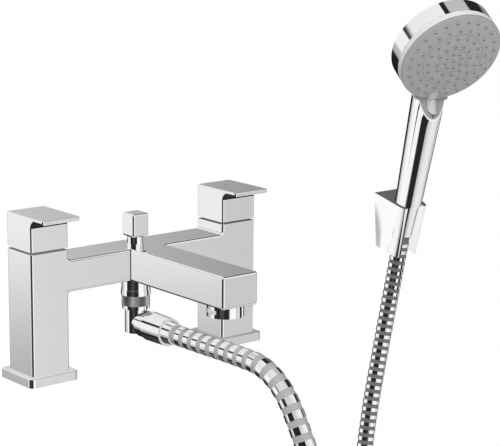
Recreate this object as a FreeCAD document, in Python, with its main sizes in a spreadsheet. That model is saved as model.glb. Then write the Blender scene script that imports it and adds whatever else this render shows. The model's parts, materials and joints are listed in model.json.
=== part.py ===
"""Deck mounted bath mixer with hose, hand shower and wall holder.

Millimetres. The origin is on the deck, midway between the two tap holes.
+X runs to the cold tap, -Y is the way the spout points and +Z is up.
"""
import FreeCAD, Part
import math
import os
import re
from FreeCAD import Placement, Rotation, Vector

X_AXIS = Vector(1, 0, 0)
Z_AXIS = Vector(0, 0, 1)

SIZES = {
    # deck and mixer body
    "tap_centres": 180.0,
    "deck_thick": 20.0,
    "plate_side": 43.0,
    "plate_high": 7.0,
    "plate_round": 4.0,
    "pillar_side": 33.0,
    "body_top": 100.5,
    "bridge_low": 67.5,
    "bridge_high": 92.5,
    "spout_reach": 130.0,
    "edge_round": 1.8,
    "corner_round": 2.0,
    "fine_round": 0.5,
    "waterway": 6.5,
    "snug": 0.1,
    # threaded tails and what clamps them
    "tail_shank": 13.6,
    "tail_nut_part": 12.7,
    "tail_end": 13.2,
    "tail_top": 12.4,
    "tail_bore": 9.5,
    "tail_reach": 14.0,
    "tail_below": 56.0,
    "tail_end_long": 18.0,
    "seal_in": 15.0,
    "seal_out": 19.5,
    "seal_thick": 1.5,
    "washer_out": 18.5,
    "rubber_thick": 2.0,
    "steel_thick": 1.5,
    "backnut_flats": 36.0,
    "backnut_high": 9.0,
    # ceramic headwork
    "headwork_seat": 62.0,
    "headwork_bore": 9.8,
    "headwork_low": 8.6,
    "headwork_seal": 2.0,
    "cup_bore": 7.0,
    "cup_high": 8.5,
    "thread_start": 84.0,
    "window_wide": 6.0,
    "disc_radius": 6.8,
    "disc_thick": 2.5,
    "disc_port": 2.2,
    "spindle": 3.4,
    "spindle_play": 0.1,
    "running_gap": 0.05,
    # lever handles
    "lever_gap": 1.6,
    "lever_high": 26.4,
    "lever_plate": 3.2,
    "lever_overhang": 16.1,
    "lever_fillet": 5.0,
    "lever_round": 1.5,
    "lever_wall": 3.0,
    "lever_boss": 6.5,
    "spindle_grip": 13.0,
    "marker_radius": 1.4,
    "marker_deep": 0.6,
    "grub_radius": 2.0,
    # diverter
    "chamber": 8.5,
    "chamber_floor": 4.0,
    "bush_radius": 8.0,
    "bush_deep": 8.5,
    "collar_radius": 6.5,
    "collar_high": 5.9,
    "spring_room": 5.5,
    "spring_mean": 4.3,
    "spring_wire": 0.5,
    "spring_turns": 5.0,
    "bush_roof": 1.3,
    "stem_radius": 3.0,
    "knob_side": 15.0,
    "knob_low": 98.7,
    "knob_high": 18.3,
    "knob_grip": 14.0,
    "knob_round": 1.5,
    "valve_seal": 6.8,
    "valve_disc": 6.2,
    "valve_thick": 2.0,
    # shower outlet under the bridge
    "nipple_spigot": 8.0,
    "nipple_bore": 5.0,
    "upper_collar": 11.15,
    "upper_collar_high": 11.1,
    "lower_collar": 11.7,
    "lower_collar_high": 4.4,
    "nipple_thread": 9.2,
    "union_radius": 11.25,
    "union_high": 8.3,
    "union_lip": 1.5,
    "knurls": 48,
    "knurl_radius": 0.35,
    "elbow_neck": 7.8,
    "elbow_flange": 9.0,
    "fibre_thick": 1.5,
    "elbow_ring": 10.9,
    "elbow_ring_high": 2.8,
    "elbow_radius": 8.7,
    "elbow_bottom": 21.5,
    "elbow_bore": 5.2,
    "side_bore": 4.4,
    "check_radius": 7.1,
    "check_bore": 4.2,
    "check_high": 11.4,
    # hose end at the mixer, measured forward from the outlet's axis
    "hose_axis": 30.0,
    "boss_neck": 7.4,
    "boss_radius": 10.5,
    "boss_start": 11.6,
    "nut_start": 21.0,
    "nut_back": 11.4,
    "nut_front": 10.9,
    "nut_long": 23.0,
    "spigot_radius": 9.6,
    "spigot_long": 10.0,
    "nut_shoulder": 15.0,
    "ferrule_flange": 9.5,
    "ferrule_back": 8.9,
    "ferrule_front": 8.4,
    "ferrule_end": 53.0,
    # aerator
    "aerator_back": 17.4,
    "aerator_radius": 13.85,
    "aerator_thread": 11.4,
    "aerator_high": 9.0,
    "aerator_thread_high": 8.5,
    "aerator_bore": 9.8,
    "insert_recess": 1.5,
    "insert_high": 8.0,
    "insert_hole": 0.9,
    "aerator_flats": 25.6,
    # hand shower, in its own frame: z up the handle from its lower end, -y to the front
    "handset_x": 340.05,
    "handset_y": 44.6,
    "handset_z": 75.9,
    "handset_lean": 12.35,
    "handset_turn": -13.4,
    "handle_low": 12.3,
    "handle_mid": 14.95,
    "handle_mid_up": 94.0,
    "handle_top": 16.0,
    "handle_top_up": 134.0,
    "handle_wall": 2.4,
    "face_up": 147.4,
    "face_forward": 24.9,
    "face_tilt": 21.35,
    "head_radius": 47.8,
    "head_front": 2.4,
    "face_side": 5.2,
    "head_band": 15.3,
    "head_wall": 2.5,
    "dome_high": 12.0,
    "neck_low_up": 85.0,
    "neck_in": 0.3,
    "neck_thick": 3.0,
    "neck_rim": 0.8,
    "neck_over": 3.0,
    "disc_gap": 0.3,
    "face_thick": 8.0,
    "face_rise": 3.6,
    "ring_margin": 7.2,
    "border_wide": 1.3,
    "border_proud": 0.5,
    "nozzle_radius": 1.3,
    "nozzle_proud": 0.9,
    "mat_thick": 2.0,
    "cover_thick": 2.5,
    "web_round": 7.0,
    "web_narrow": 5.0,
    "web_out": 8.0,
    "web_deep": 8.0,
    "tab_wide": 11.0,
    "tab_foot": 2.3,
    "tab_in": 5.0,
    "tab_proud": 1.4,
    "tab_long": 9.5,
    "tab_thick": 2.5,
    "tab_arch": 7.3,
    "tab_gap": 0.7,
    "tube_out": 6.5,
    "tube_bore": 5.0,
    "handset_spigot": 8.6,
    "handset_spigot_long": 12.0,
    "cone_nut_top": 10.3,
    "cone_nut_bottom": 8.5,
    "cone_nut_long": 30.8,
    "handset_ferrule": 6.6,
    # wall holder
    "wall_y": 70.0,
    "cradle_play": 0.35,
    "cradle_slot": 20.4,
    "cradle_top": 17.1,
    "cradle_bottom": 15.4,
    "cradle_high": 48.5,
    "cradle_front": 10.5,
    "cradle_level": 0.8,
    "cradle_slope": 5.5,
    "holder_top_half": 20.0,
    "holder_bottom_half": 16.3,
    "wall_plate_wide": 26.0,
    "wall_plate_high": 34.0,
    "wall_plate_low": 41.0,
    "wall_plate_thick": 4.5,
    "screw_hole": 2.3,
    "screw_head": 4.4,
    "sink_deep": 2.1,
    "screw_spacing": 24.0,
    # hose
    "hose_radius": 7.75,
    "hose_valley": 7.35,
    "hose_bore": 4.5,
    "hose_lead": 29.0,
    "rib_pitch": 6.9,
    "stretched_pitch": 10.7,
    "stretched_long": 230.0,
}

# the hose's way from the ferrule at the mixer to the nut under the hand shower
HOSE_ROUTE = [
    (1.0, -112.0, 30.3),
    (0.8, -172.0, 29.6),
    (4.5, -205.0, -28.0),
    (18.0, -227.0, -110.0),
    (42.0, -224.0, -210.0),
    (80.0, -192.0, -315.0),
    (132.0, -134.0, -400.0),
    (198.0, -60.0, -428.0),
    (250.0, 4.0, -392.0),
    (281.0, 43.0, -312.0),
    (294.0, 53.0, -224.0),
    (305.0, 56.0, -134.0),
    (329.0, 60.3, -45.0),
]

doc = FreeCAD.newDocument("BathMixer")
sheet = doc.addObject("Spreadsheet::Sheet", "Sizes")
pieces = {}


def fill_sheet():
    """One row for each driving dimension, with its name as the alias."""
    for row, (alias, value) in enumerate(SIZES.items(), start=1):
        sheet.set(f"A{row}", alias)
        sheet.set(f"B{row}", str(value))
        sheet.setAlias(f"B{row}", alias)
    doc.recompute()


fill_sheet()
WORD = re.compile(r"[A-Za-z_]\w*")


def bound(text):
    """An expression over the sheet, from one that uses the aliases alone."""
    return WORD.sub(lambda m: "Sizes." + m.group(0) if m.group(0) in SIZES else m.group(0), text)


def value(text):
    """The number that an expression over the sheet gives now."""
    found = WORD.sub(lambda m: str(sheet.get(m.group(0))), text)
    total = FreeCAD.Units.Quantity(found)
    return float(total.Value)


def bind(thing, **properties):
    for name, text in properties.items():
        thing.setExpression(name.replace("__", "."), bound(text))
    return thing


def place(thing, x="0", y="0", z="0", turn=None):
    """Put a primitive at a place given by expressions, turned first if asked."""
    if turn:
        thing.Placement = Placement(Vector(), turn)
    return bind(thing, Placement__Base__x=x, Placement__Base__y=y, Placement__Base__z=z)


def box(x, y, z, wide, deep, high):
    thing = doc.addObject("Part::Box", "Box")
    bind(thing, Length=wide, Width=deep, Height=high)
    return place(thing, x, y, z)


def rod(radius, low, high, x="0", y="0"):
    """An upright cylinder from low to high."""
    thing = doc.addObject("Part::Cylinder", "Rod")
    bind(thing, Radius=radius, Height=f"({high}) - ({low})")
    return place(thing, x, y, low)


def cone(radius_low, radius_high, low, high, x="0", y="0"):
    thing = doc.addObject("Part::Cone", "Cone")
    bind(thing, Radius1=radius_low, Radius2=radius_high, Height=f"({high}) - ({low})")
    return place(thing, x, y, low)


def lying(radius, start, long, turn, x="0", y="0", z="0"):
    """A cylinder that starts at a point and runs the way that turn sends +Z."""
    thing = doc.addObject("Part::Cylinder", "Rod")
    bind(thing, Radius=radius, Height=long)
    way = turn.multVec(Z_AXIS)
    at = [x, y, z]
    for i, part in enumerate(way):
        if abs(part) > 0.5:
            at[i] = f"({at[i]}) + ({start}) * {round(part)}"
    return place(thing, *at, turn=turn)


FORWARD = Rotation(X_AXIS, 90)
ACROSS = Rotation(Vector(0, 1, 0), 90)


def fuse(*things):
    if len(things) == 1:
        return things[0]
    joined = doc.addObject("Part::MultiFuse", "Joined")
    joined.Shapes = list(things)
    joined.Refine = True
    return joined


def cut(base, *tools):
    left = doc.addObject("Part::Cut", "Left")
    left.Base = base
    left.Tool = fuse(*tools)
    left.Refine = True
    return left


def common(first, second):
    shared = doc.addObject("Part::Common", "Shared")
    shared.Base = first
    shared.Tool = second
    return shared


def rounded(base, radius, wanted):
    """Fillet the edges of base that the test called wanted picks."""
    doc.recompute()
    soft = doc.addObject("Part::Fillet", "Rounded")
    soft.Base = base
    size = value(radius)
    chosen = [i for i, e in enumerate(base.Shape.Edges, start=1) if wanted(e)]
    soft.Edges = [(i, size, size) for i in chosen]
    return soft


def straight(edge):
    return edge.Curve.TypeId == "Part::GeomLine"


def upright(edge):
    return straight(edge) and abs(edge.tangentAt(0).z) > 0.9


def feature(shape, placement=None):
    """A document object for a shape that no primitive or boolean makes."""
    thing = doc.addObject("Part::Feature", "Shape")
    thing.Shape = shape
    if placement:
        thing.Placement = placement
    return thing


def keep(label, thing, placement=None):
    """Name a finished sub-part and, where it is made in a local frame, place it."""
    if placement:
        thing.Placement = placement
    thing.Label = label
    pieces[label] = thing
    return thing


# mixer body: two pillars, the bridge and the spout, with their water ways
def make_mixer_body():
    half = "pillar_side / 2"
    middle = "(bridge_low + bridge_high) / 2"
    columns = []
    for side in ("-", ""):
        centre = f"{side}tap_centres / 2"
        columns.append(box(f"{centre} - {half}", f"-{half}", "plate_high",
                           "pillar_side", "pillar_side", "body_top - plate_high"))
    bridge = box("-tap_centres / 2", f"-{half}", "bridge_low",
                 "tap_centres", "pillar_side", "bridge_high - bridge_low")
    frame = fuse(*columns, bridge)
    inner = value("tap_centres / 2 - pillar_side / 2")
    levels = (value("bridge_low"), value("bridge_high"))

    def in_corner(edge):
        c = edge.CenterOfMass
        return straight(edge) and abs(abs(c.x) - inner) < 0.01 and min(abs(c.z - v) for v in levels) < 0.01

    frame = rounded(frame, "corner_round", in_corner)
    spout = box(f"-{half}", "-spout_reach", "bridge_low",
                "pillar_side", "spout_reach", "bridge_high - bridge_low")
    outside = fuse(frame, spout)
    shared = value(half)
    near = value("1.25 * corner_round")
    foot = value("plate_high")
    crown = value("body_top")

    def outer_edge(edge):
        c = edge.CenterOfMass
        beside_spout = abs(abs(c.x) - shared) < 0.01 and abs(c.y + shared) < 0.01
        beside_corner = abs(abs(c.x) - inner) < near and edge.Length > shared and abs(c.y) < 1
        at_end = min(abs(c.z - foot), abs(c.z - crown)) < 0.01
        return straight(edge) and edge.Length > near and not (beside_spout or beside_corner or at_end)

    outside = rounded(outside, "edge_round", outer_edge)
    outside = rounded(outside, "fine_round", lambda e: abs(e.BoundBox.ZMin - crown) < 0.01)
    hollows = [lying("waterway", "-tap_centres / 2", "tap_centres", ACROSS, z=middle),
               lying("waterway", "0", "spout_reach - aerator_back", FORWARD, z=middle),
               rod("chamber", "bridge_low + chamber_floor", "bridge_high - bush_deep"),
               rod("bush_radius", "bridge_high - bush_deep", "bridge_high"),
               rod("nipple_spigot", "bridge_low", "bridge_low + chamber_floor"),
               rod("aerator_thread + snug", "bridge_low", "bridge_low + aerator_thread_high",
                   y="aerator_back - spout_reach"),
               rod("aerator_bore", "bridge_low", f"{middle}", y="aerator_back - spout_reach")]
    for side in ("-", ""):
        centre = f"{side}tap_centres / 2"
        hollows.append(rod("tail_top", "plate_high", "plate_high + tail_reach", x=centre))
        hollows.append(rod("waterway", "plate_high", "headwork_seat", x=centre))
        hollows.append(rod("headwork_bore", "headwork_seat", "body_top", x=centre))
    keep("mixer_body", cut(outside, *hollows))


# one tap's foot: plate, seal, threaded tail, washers and backnut
def make_foot(name, centre):
    plate = box(f"{centre} - plate_side / 2", "-plate_side / 2", "0",
                "plate_side", "plate_side", "plate_high")
    plate = rounded(plate, "plate_round", upright)
    high = value("plate_high")
    plate = rounded(plate, "fine_round", lambda e: abs(e.BoundBox.ZMin - high) < 0.01)
    groove = cut(rod("seal_out + snug", "0", "seal_thick", x=centre),
                 rod("seal_in - snug", "0", "seal_thick", x=centre))
    keep(f"{name}_base_plate", cut(plate, groove, rod("tail_top + snug", "0", "plate_high", x=centre)))
    keep(f"{name}_base_seal", cut(rod("seal_out", "0", "seal_thick", x=centre),
                                  rod("seal_in", "0", "seal_thick", x=centre)))
    tail = fuse(rod("tail_top", "0", "plate_high + tail_reach", x=centre),
                rod("tail_shank", "-deck_thick", "0", x=centre),
                rod("tail_nut_part", "tail_end_long - tail_below", "-deck_thick", x=centre),
                rod("tail_end", "-tail_below", "tail_end_long - tail_below", x=centre))
    keep(f"{name}_tail", cut(tail, rod("tail_bore", "-tail_below", "plate_high + tail_reach", x=centre)))
    below = "-deck_thick"
    for part, thick in (("rubber_washer", "rubber_thick"), ("steel_washer", "steel_thick")):
        low = f"{below} - {thick}"
        keep(f"{name}_{part}", cut(rod("washer_out", low, below, x=centre),
                                   rod("tail_nut_part + snug", low, below, x=centre)))
        below = low
    hexagon = doc.addObject("Part::Prism", "Hexagon")
    hexagon.Polygon = 6
    bind(hexagon, Circumradius="backnut_flats / 2 / cos(30)", Height="backnut_high")
    place(hexagon, centre, "0", f"{below} - backnut_high")
    keep(f"{name}_backnut", cut(hexagon, rod("tail_nut_part + snug", f"{below} - backnut_high",
                                             below, x=centre)))


# one tap's headwork: body, seal, fixed and turning disc, spindle
def make_headwork(name, centre):
    cup = "headwork_seat + headwork_seal"
    keep(f"{name}_headwork_seal", cut(rod("headwork_low", "headwork_seat", cup, x=centre),
                                      rod("disc_radius - disc_port", "headwork_seat", cup, x=centre)))
    body = fuse(rod("headwork_low", cup, "thread_start", x=centre),
                rod("headwork_bore - snug", "thread_start", "body_top", x=centre))
    window = box(f"{centre} - headwork_low", "-window_wide / 2", f"{cup} + cup_high",
                 "2 * headwork_low", "window_wide", f"thread_start - {cup} - cup_high - 2")
    keep(f"{name}_headwork_body", cut(body, window, rod("cup_bore", cup, f"{cup} + cup_high", x=centre),
                                      rod("spindle + spindle_play", cup, "body_top", x=centre)))
    fixed_top = f"{cup} + disc_thick"
    turning_low = f"{fixed_top} + running_gap"
    turning_top = f"{turning_low} + disc_thick"
    reach = "disc_radius / 2"
    for label, low, high in ((f"{name}_fixed_disc", cup, fixed_top),
                             (f"{name}_turning_disc", turning_low, turning_top)):
        ports = [rod("disc_port", low, high, x=centre, y=f"{sign}{reach}") for sign in ("-", "")]
        keep(label, cut(rod("disc_radius", low, high, x=centre), *ports))
    top = "body_top + lever_gap"
    keep(f"{name}_spindle", fuse(rod("disc_radius - snug", turning_top, f"{turning_top} + disc_thick",
                                     x=centre),
                                 rod("spindle", f"{turning_top} + disc_thick", f"{top} + spindle_grip",
                                     x=centre)))


# one lever: hollow block with a plate that points forward, its marker and grub screw
def make_lever(name, centre):
    half = "pillar_side / 2"
    low = "body_top + lever_gap"
    top = f"{low} + lever_high"
    block = box(f"{centre} - {half}", f"-{half}", low, "pillar_side", "pillar_side", "lever_high")
    plate = box(f"{centre} - {half}", f"-{half} - lever_overhang", f"{top} - lever_plate",
                "pillar_side", "pillar_side + lever_overhang", "lever_plate")
    shape = fuse(block, plate)
    front = -value(half)
    under = value(f"{top} - lever_plate")
    shape = rounded(shape, "lever_fillet",
                    lambda e: abs(e.CenterOfMass.y - front) < 0.01 and abs(e.CenterOfMass.z - under) < 0.01)
    shape = rounded(shape, "lever_round", upright)
    crown = value(top)
    shape = rounded(shape, "fine_round", lambda e: abs(e.BoundBox.ZMin - crown) < 0.01)
    hollow = box(f"{centre} - {half} + lever_wall", f"-{half} + lever_wall", low,
                 "pillar_side - 2 * lever_wall", "pillar_side - 2 * lever_wall",
                 "lever_high - lever_plate - lever_wall")
    shell = cut(shape, hollow, rod("marker_radius", f"{top} - marker_deep", top, x=centre))
    boss = rod("lever_boss", low, f"{top} - lever_plate - lever_wall", x=centre)
    middle = f"{low} + spindle_grip / 2"
    grub_long = f"{half} - spindle"
    keep(f"{name}_lever", cut(fuse(shell, boss), rod("spindle", low, f"{low} + spindle_grip", x=centre),
                              lying("grub_radius", f"-{half}", grub_long, FORWARD, x=centre, z=middle)))
    keep(f"{name}_marker", rod("marker_radius", f"{top} - marker_deep", top, x=centre))
    keep(f"{name}_grub_screw", lying("grub_radius", f"-{half} + lever_wall / 2",
                                     f"{grub_long} - lever_wall / 2", FORWARD, x=centre, z=middle))


# diverter: fixed bush and the knob with its stem, seals and spring
def make_diverter():
    seat = "bridge_low + chamber_floor"
    disc_low = f"{seat} + valve_thick"
    disc_top = f"{disc_low} + valve_thick"
    spring_low = f"{disc_top} + valve_thick"
    bush_low = "bridge_high - bush_deep"
    bush_top = "bridge_high + collar_high"
    bush = fuse(rod("bush_radius - snug / 2", bush_low, "bridge_high"),
                rod("collar_radius", "bridge_high", bush_top))
    keep("diverter_bush", cut(bush, rod("spring_room", bush_low, "bridge_high - bush_roof"),
                              rod("stem_radius + spindle_play", bush_low, bush_top)))
    keep("diverter_lower_seal", rod("valve_seal", f"{seat} + running_gap", disc_low))
    keep("diverter_stem", fuse(rod("valve_disc", disc_low, disc_top),
                               rod("stem_radius", disc_top, "knob_low + knob_grip")))
    keep("diverter_upper_seal", cut(rod("valve_seal", disc_top, spring_low),
                                    rod("stem_radius", disc_top, spring_low)))
    knob = box("-knob_side / 2", "-knob_side / 2", "knob_low", "knob_side", "knob_side", "knob_high")
    knob = rounded(knob, "knob_round", straight)
    keep("diverter_knob", cut(knob, rod("stem_radius", "knob_low", "knob_low + knob_grip")))
    make_spring(value(spring_low), value("bridge_high - bush_roof"))


def make_spring(low, high):
    """A helical spring between two levels, around the diverter's stem."""
    wire = value("spring_wire")
    turns = value("spring_turns")
    pitch = (high - low - 2 * wire) / turns
    radius = value("spring_mean")
    path = Part.makeHelix(pitch, pitch * turns, radius)
    section = Part.Wire(Part.makeCircle(wire, Vector(radius, 0, 0), Vector(0, 1, 0)))
    coil = Part.Wire(path.Edges).makePipeShell([section], True, True)
    keep("diverter_spring", feature(coil), Placement(Vector(0, 0, low + wire), Rotation()))


# shower outlet: nipple, check valve, knurled union nut and elbow
def make_outlet():
    upper = "bridge_low - upper_collar_high"
    lower = f"{upper} - lower_collar_high"
    nut_low = f"{lower} - union_high"
    flange_low = f"{nut_low} + union_lip"
    flange_top = f"{flange_low} + fibre_thick"
    fibre_top = f"{flange_top} + fibre_thick"
    nipple = fuse(rod("nipple_spigot", "bridge_low", "bridge_low + chamber_floor"),
                  rod("upper_collar", upper, "bridge_low"), rod("lower_collar", lower, upper),
                  rod("nipple_thread", fibre_top, lower))
    valve_top = f"{fibre_top} + check_high"
    keep("outlet_nipple", cut(nipple, rod("nipple_bore", fibre_top, "bridge_low + chamber_floor"),
                              rod("check_radius + snug", fibre_top, valve_top)))
    keep("check_valve", cut(rod("check_radius", fibre_top, valve_top),
                            rod("check_bore", fibre_top, f"{valve_top} - fibre_thick"),
                            *[rod("disc_port / 2", fibre_top, valve_top, x=f"check_bore / 2 * cos({a})",
                                  y=f"check_bore / 2 * sin({a})") for a in (0, 120, 240)]))
    nut = rod("union_radius", nut_low, lower)
    teeth = []
    for i in range(int(value("knurls"))):
        angle = f"360 / knurls * {i}"
        teeth.append(rod("knurl_radius", f"{nut_low} + knurl_radius", f"{lower} - knurl_radius",
                         x=f"union_radius * cos({angle})", y=f"union_radius * sin({angle})"))
    keep("union_nut", cut(nut, rod("nipple_thread + snug", flange_low, lower),
                          rod("elbow_neck + snug", nut_low, flange_low), *teeth))
    keep("union_washer", cut(rod("elbow_flange", flange_top, fibre_top),
                             rod("elbow_bore", flange_top, fibre_top)))
    make_elbow(nut_low, flange_low, flange_top)


def make_elbow(nut_low, flange_low, flange_top):
    ring_low = f"{nut_low} - elbow_ring_high"
    solid = fuse(rod("elbow_flange", flange_low, flange_top), rod("elbow_neck", ring_low, flange_low),
                 rod("elbow_ring", ring_low, nut_low), rod("elbow_radius", "elbow_bottom", ring_low),
                 lying("boss_neck", "0", "boss_start", FORWARD, z="hose_axis"),
                 lying("boss_radius", "boss_start", "nut_start - boss_start", FORWARD, z="hose_axis"),
                 lying("spigot_radius", "nut_start", "spigot_long", FORWARD, z="hose_axis"))
    keep("outlet_elbow", cut(solid, rod("elbow_bore", "hose_axis - elbow_bore", flange_top),
                             lying("side_bore", "0", "nut_start + spigot_long", FORWARD, z="hose_axis")))


# hose end at the mixer: nut, washer and ferrule, made upright and then laid forward
def make_mixer_hose_end():
    at = Placement(Vector(0, 0, value("hose_axis")), FORWARD)
    nut_end = "nut_start + nut_long"
    shoulder = "nut_start + nut_shoulder"
    spigot_end = "nut_start + spigot_long"
    washer_end = f"{spigot_end} + rubber_thick"
    keep("mixer_hose_nut", cut(cone("nut_back", "nut_front", "nut_start", nut_end),
                               rod("spigot_radius + snug", "nut_start", shoulder),
                               rod("ferrule_back + snug", shoulder, nut_end)), at)
    keep("mixer_hose_washer", cut(rod("spigot_radius", spigot_end, washer_end),
                                  rod("hose_bore", spigot_end, washer_end)), at)
    ferrule = fuse(rod("ferrule_flange", washer_end, shoulder),
                   cone("ferrule_back", "ferrule_front", shoulder, "ferrule_end"))
    keep("mixer_hose_ferrule", cut(ferrule, rod("hose_bore", washer_end, "ferrule_end")), at)


# aerator: housing with two flats, washer and the insert with its jets
def make_aerator():
    y = "aerator_back - spout_reach"
    low = "bridge_low - aerator_high"
    top = "bridge_low + aerator_thread_high"
    shell = fuse(rod("aerator_radius", low, "bridge_low", y=y), rod("aerator_thread", "bridge_low", top, y=y))
    flats = [box(f"{edge}", f"{y} - aerator_radius", f"{low} + aerator_high / 3",
                 "aerator_radius", "2 * aerator_radius", "aerator_high / 3")
             for edge in ("aerator_flats / 2", "-aerator_flats / 2 - aerator_radius")]
    keep("aerator_housing", cut(shell, rod("aerator_bore", low, top, y=y), *flats))
    insert_low = f"{low} + insert_recess"
    insert_top = f"{insert_low} + insert_high"
    jets = [rod("insert_hole", insert_low, insert_top, y=y)]
    for ring, count in ((1, 6), (2, 12)):
        for i in range(count):
            angle = 360.0 / count * i
            jets.append(rod("insert_hole", insert_low, insert_top,
                            x=f"aerator_bore / 3 * {ring} * cos({angle})",
                            y=f"{y} + aerator_bore / 3 * {ring} * sin({angle})"))
    keep("aerator_insert", cut(rod("aerator_bore - snug", insert_low, insert_top, y=y), *jets))
    keep("aerator_washer", cut(rod("aerator_bore - snug", insert_top, top, y=y),
                               rod("waterway", insert_top, top, y=y)))


# frames of the hand shower: its handle, its face and the cradle that it hangs in
def handle_frame():
    at = Vector(value("handset_x"), value("handset_y"), value("handset_z"))
    return Placement(at, Rotation(X_AXIS, value("handset_lean")) * Rotation(Z_AXIS, value("handset_turn")))


def face_in_handle():
    return Placement(Vector(0, -value("face_forward"), value("face_up")),
                     Rotation(X_AXIS, 90 + value("face_tilt")))


def cradle_frame():
    at = Vector(value("handset_x"), value("handset_y"), value("handset_z"))
    return Placement(at, Rotation(X_AXIS, value("handset_lean")))


def in_face(thing):
    """Move something made flat, with +Z out of the face, into the handle's frame."""
    doc.recompute()
    return feature(thing.Shape.copy(), face_in_handle() * thing.Placement)


def neck_plane():
    """The slanting plane from the face's lower edge to the handle's front, in the handle's frame."""
    rim = face_in_handle().multVec(Vector(0, value("neck_in - head_radius"), -value("head_front")))
    low = value("neck_low_up")
    share = low / value("handle_mid_up")
    front = value("handle_low") + (value("handle_mid") - value("handle_low")) * share
    tip = Vector(0, -front, low)
    slope = math.degrees(math.atan2(rim.z - tip.z, rim.y - tip.y))
    return Placement(rim, Rotation(X_AXIS, slope))


def handle_solid(less):
    """The handle's outer shape, or its inside where less is a wall."""
    first = cone(f"handle_low - {less}", f"handle_mid - {less}", "0", "handle_mid_up")
    second = cone(f"handle_mid - {less}", f"handle_top - {less}", "handle_mid_up", "handle_top_up")
    return fuse(first, second)


def make_web(less):
    """A flare on each side between the handle and the head's band, or its inside."""
    across = "(handle_mid - web_narrow + web_round)"
    low = "-head_front - web_deep"
    end = "-head_radius - web_out"
    block = box(f"-{across}", end, low, f"2 * {across}", "web_out + neck_in + head_wall",
                "web_deep + dome_high")
    rounds = [rod(f"web_round + {less}", low, "dome_high", x=f"{sign}{across}", y=end)
              for sign in ("-", "")]
    return in_face(cut(block, *rounds))


def neck_plug():
    """What fills the slanting opening at the top of the handle."""
    far = 40.0
    thick = value("neck_thick")
    over = value("neck_over")
    slab = feature(Part.makeBox(2 * far, far + over, thick, Vector(-far, -far, -thick)), neck_plane())
    return common(fuse(handle_solid("neck_rim"), make_web("neck_rim")), slab)


def make_dome(less, back):
    """The head's rounded back behind a level, or its inside where less is a wall."""
    radius = "((head_radius - head_wall) ^ 2 + dome_high ^ 2) / (2 * dome_high)"
    ball = doc.addObject("Part::Sphere", "Ball")
    bind(ball, Radius=f"{radius} - {less}")
    place(ball, z=f"{back} - dome_high + {radius}")
    return common(ball, rod("head_radius - head_wall", f"{back} - dome_high", f"{back} + {less}"))


def make_handset_shell():
    front = "-head_front - face_side"
    back = "-head_front - face_side - head_band"
    head = fuse(rod("head_radius", back, front), make_dome("0", f"({back})"))
    inside = fuse(rod("head_radius - head_wall", f"{back} + head_wall", "1"),
                  make_dome("head_wall", f"({back})"))
    far = 80.0
    before_disc = in_face(rod("head_radius + disc_gap", front, "2 * head_radius"))
    lowest = value("neck_in - head_radius")
    before_face = feature(Part.makeBox(2 * far, 2 * far, far, Vector(-far, lowest, -value("head_front"))),
                          face_in_handle())
    over = value("neck_over")
    before_neck = feature(Part.makeBox(2 * far, far + over, far, Vector(-far, -far, 0)), neck_plane())
    handle = cut(fuse(handle_solid("0"), make_web("0")), before_disc, before_face, before_neck)
    outside = fuse(handle, in_face(head), rod("handset_spigot", "-handset_spigot_long", "0"))
    bore = fuse(handle_solid("handle_wall"))
    bore = cut(bore, rod("handle_low", "0", "handle_wall"))
    shell = cut(outside, bore, neck_plug(), in_face(inside),
                rod("tube_out", "-handset_spigot_long", "handle_wall"))
    keep("handset_shell", shell, handle_frame())


def make_handset_inside():
    """Neck insert, water tube and the cover behind the nozzles."""
    frame = handle_frame()
    disc_room = in_face(fuse(rod("head_radius - head_wall", "-3 * dome_high", "0"),
                             rod("head_radius + disc_gap", "-head_front - face_side", "dome_high / 4")))
    keep("neck_insert", cut(neck_plug(), disc_room), frame)
    keep("water_tube", cut(rod("tube_out - snug", "-handset_spigot_long", "neck_low_up - 4"),
                           rod("tube_bore", "-handset_spigot_long", "neck_low_up - 4")), frame)
    cover_top = "-head_front - face_thick - mat_thick - disc_gap"
    keep("chamber_cover", cut(rod("head_radius - head_wall - disc_gap", f"{cover_top} - cover_thick",
                                  cover_top),
                              rod("tube_bore", f"{cover_top} - cover_thick", cover_top)),
         frame * face_in_handle())


def ring_spacing():
    return value("(head_radius - ring_margin) / 5")


def nozzle_places():
    """Centres of the nozzles: one in the middle and five rings, four more in each ring."""
    spacing = ring_spacing()
    spots = [(0.0, 0.0)]
    for ring in range(1, 6):
        count = 4 + 4 * ring
        for i in range(count):
            angle = math.radians(-90 + 360.0 / count * (i + 0.5 * (count != 24)))
            if count == 24 and i == 0:
                continue
            spots.append((ring * spacing * math.cos(angle), ring * spacing * math.sin(angle)))
    return spots


def rise(distance):
    """How far the domed face stands out at a distance from its centre."""
    flat_at = 5 * ring_spacing()
    return value("face_rise") * (1 - (distance / flat_at) ** 2)


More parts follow.
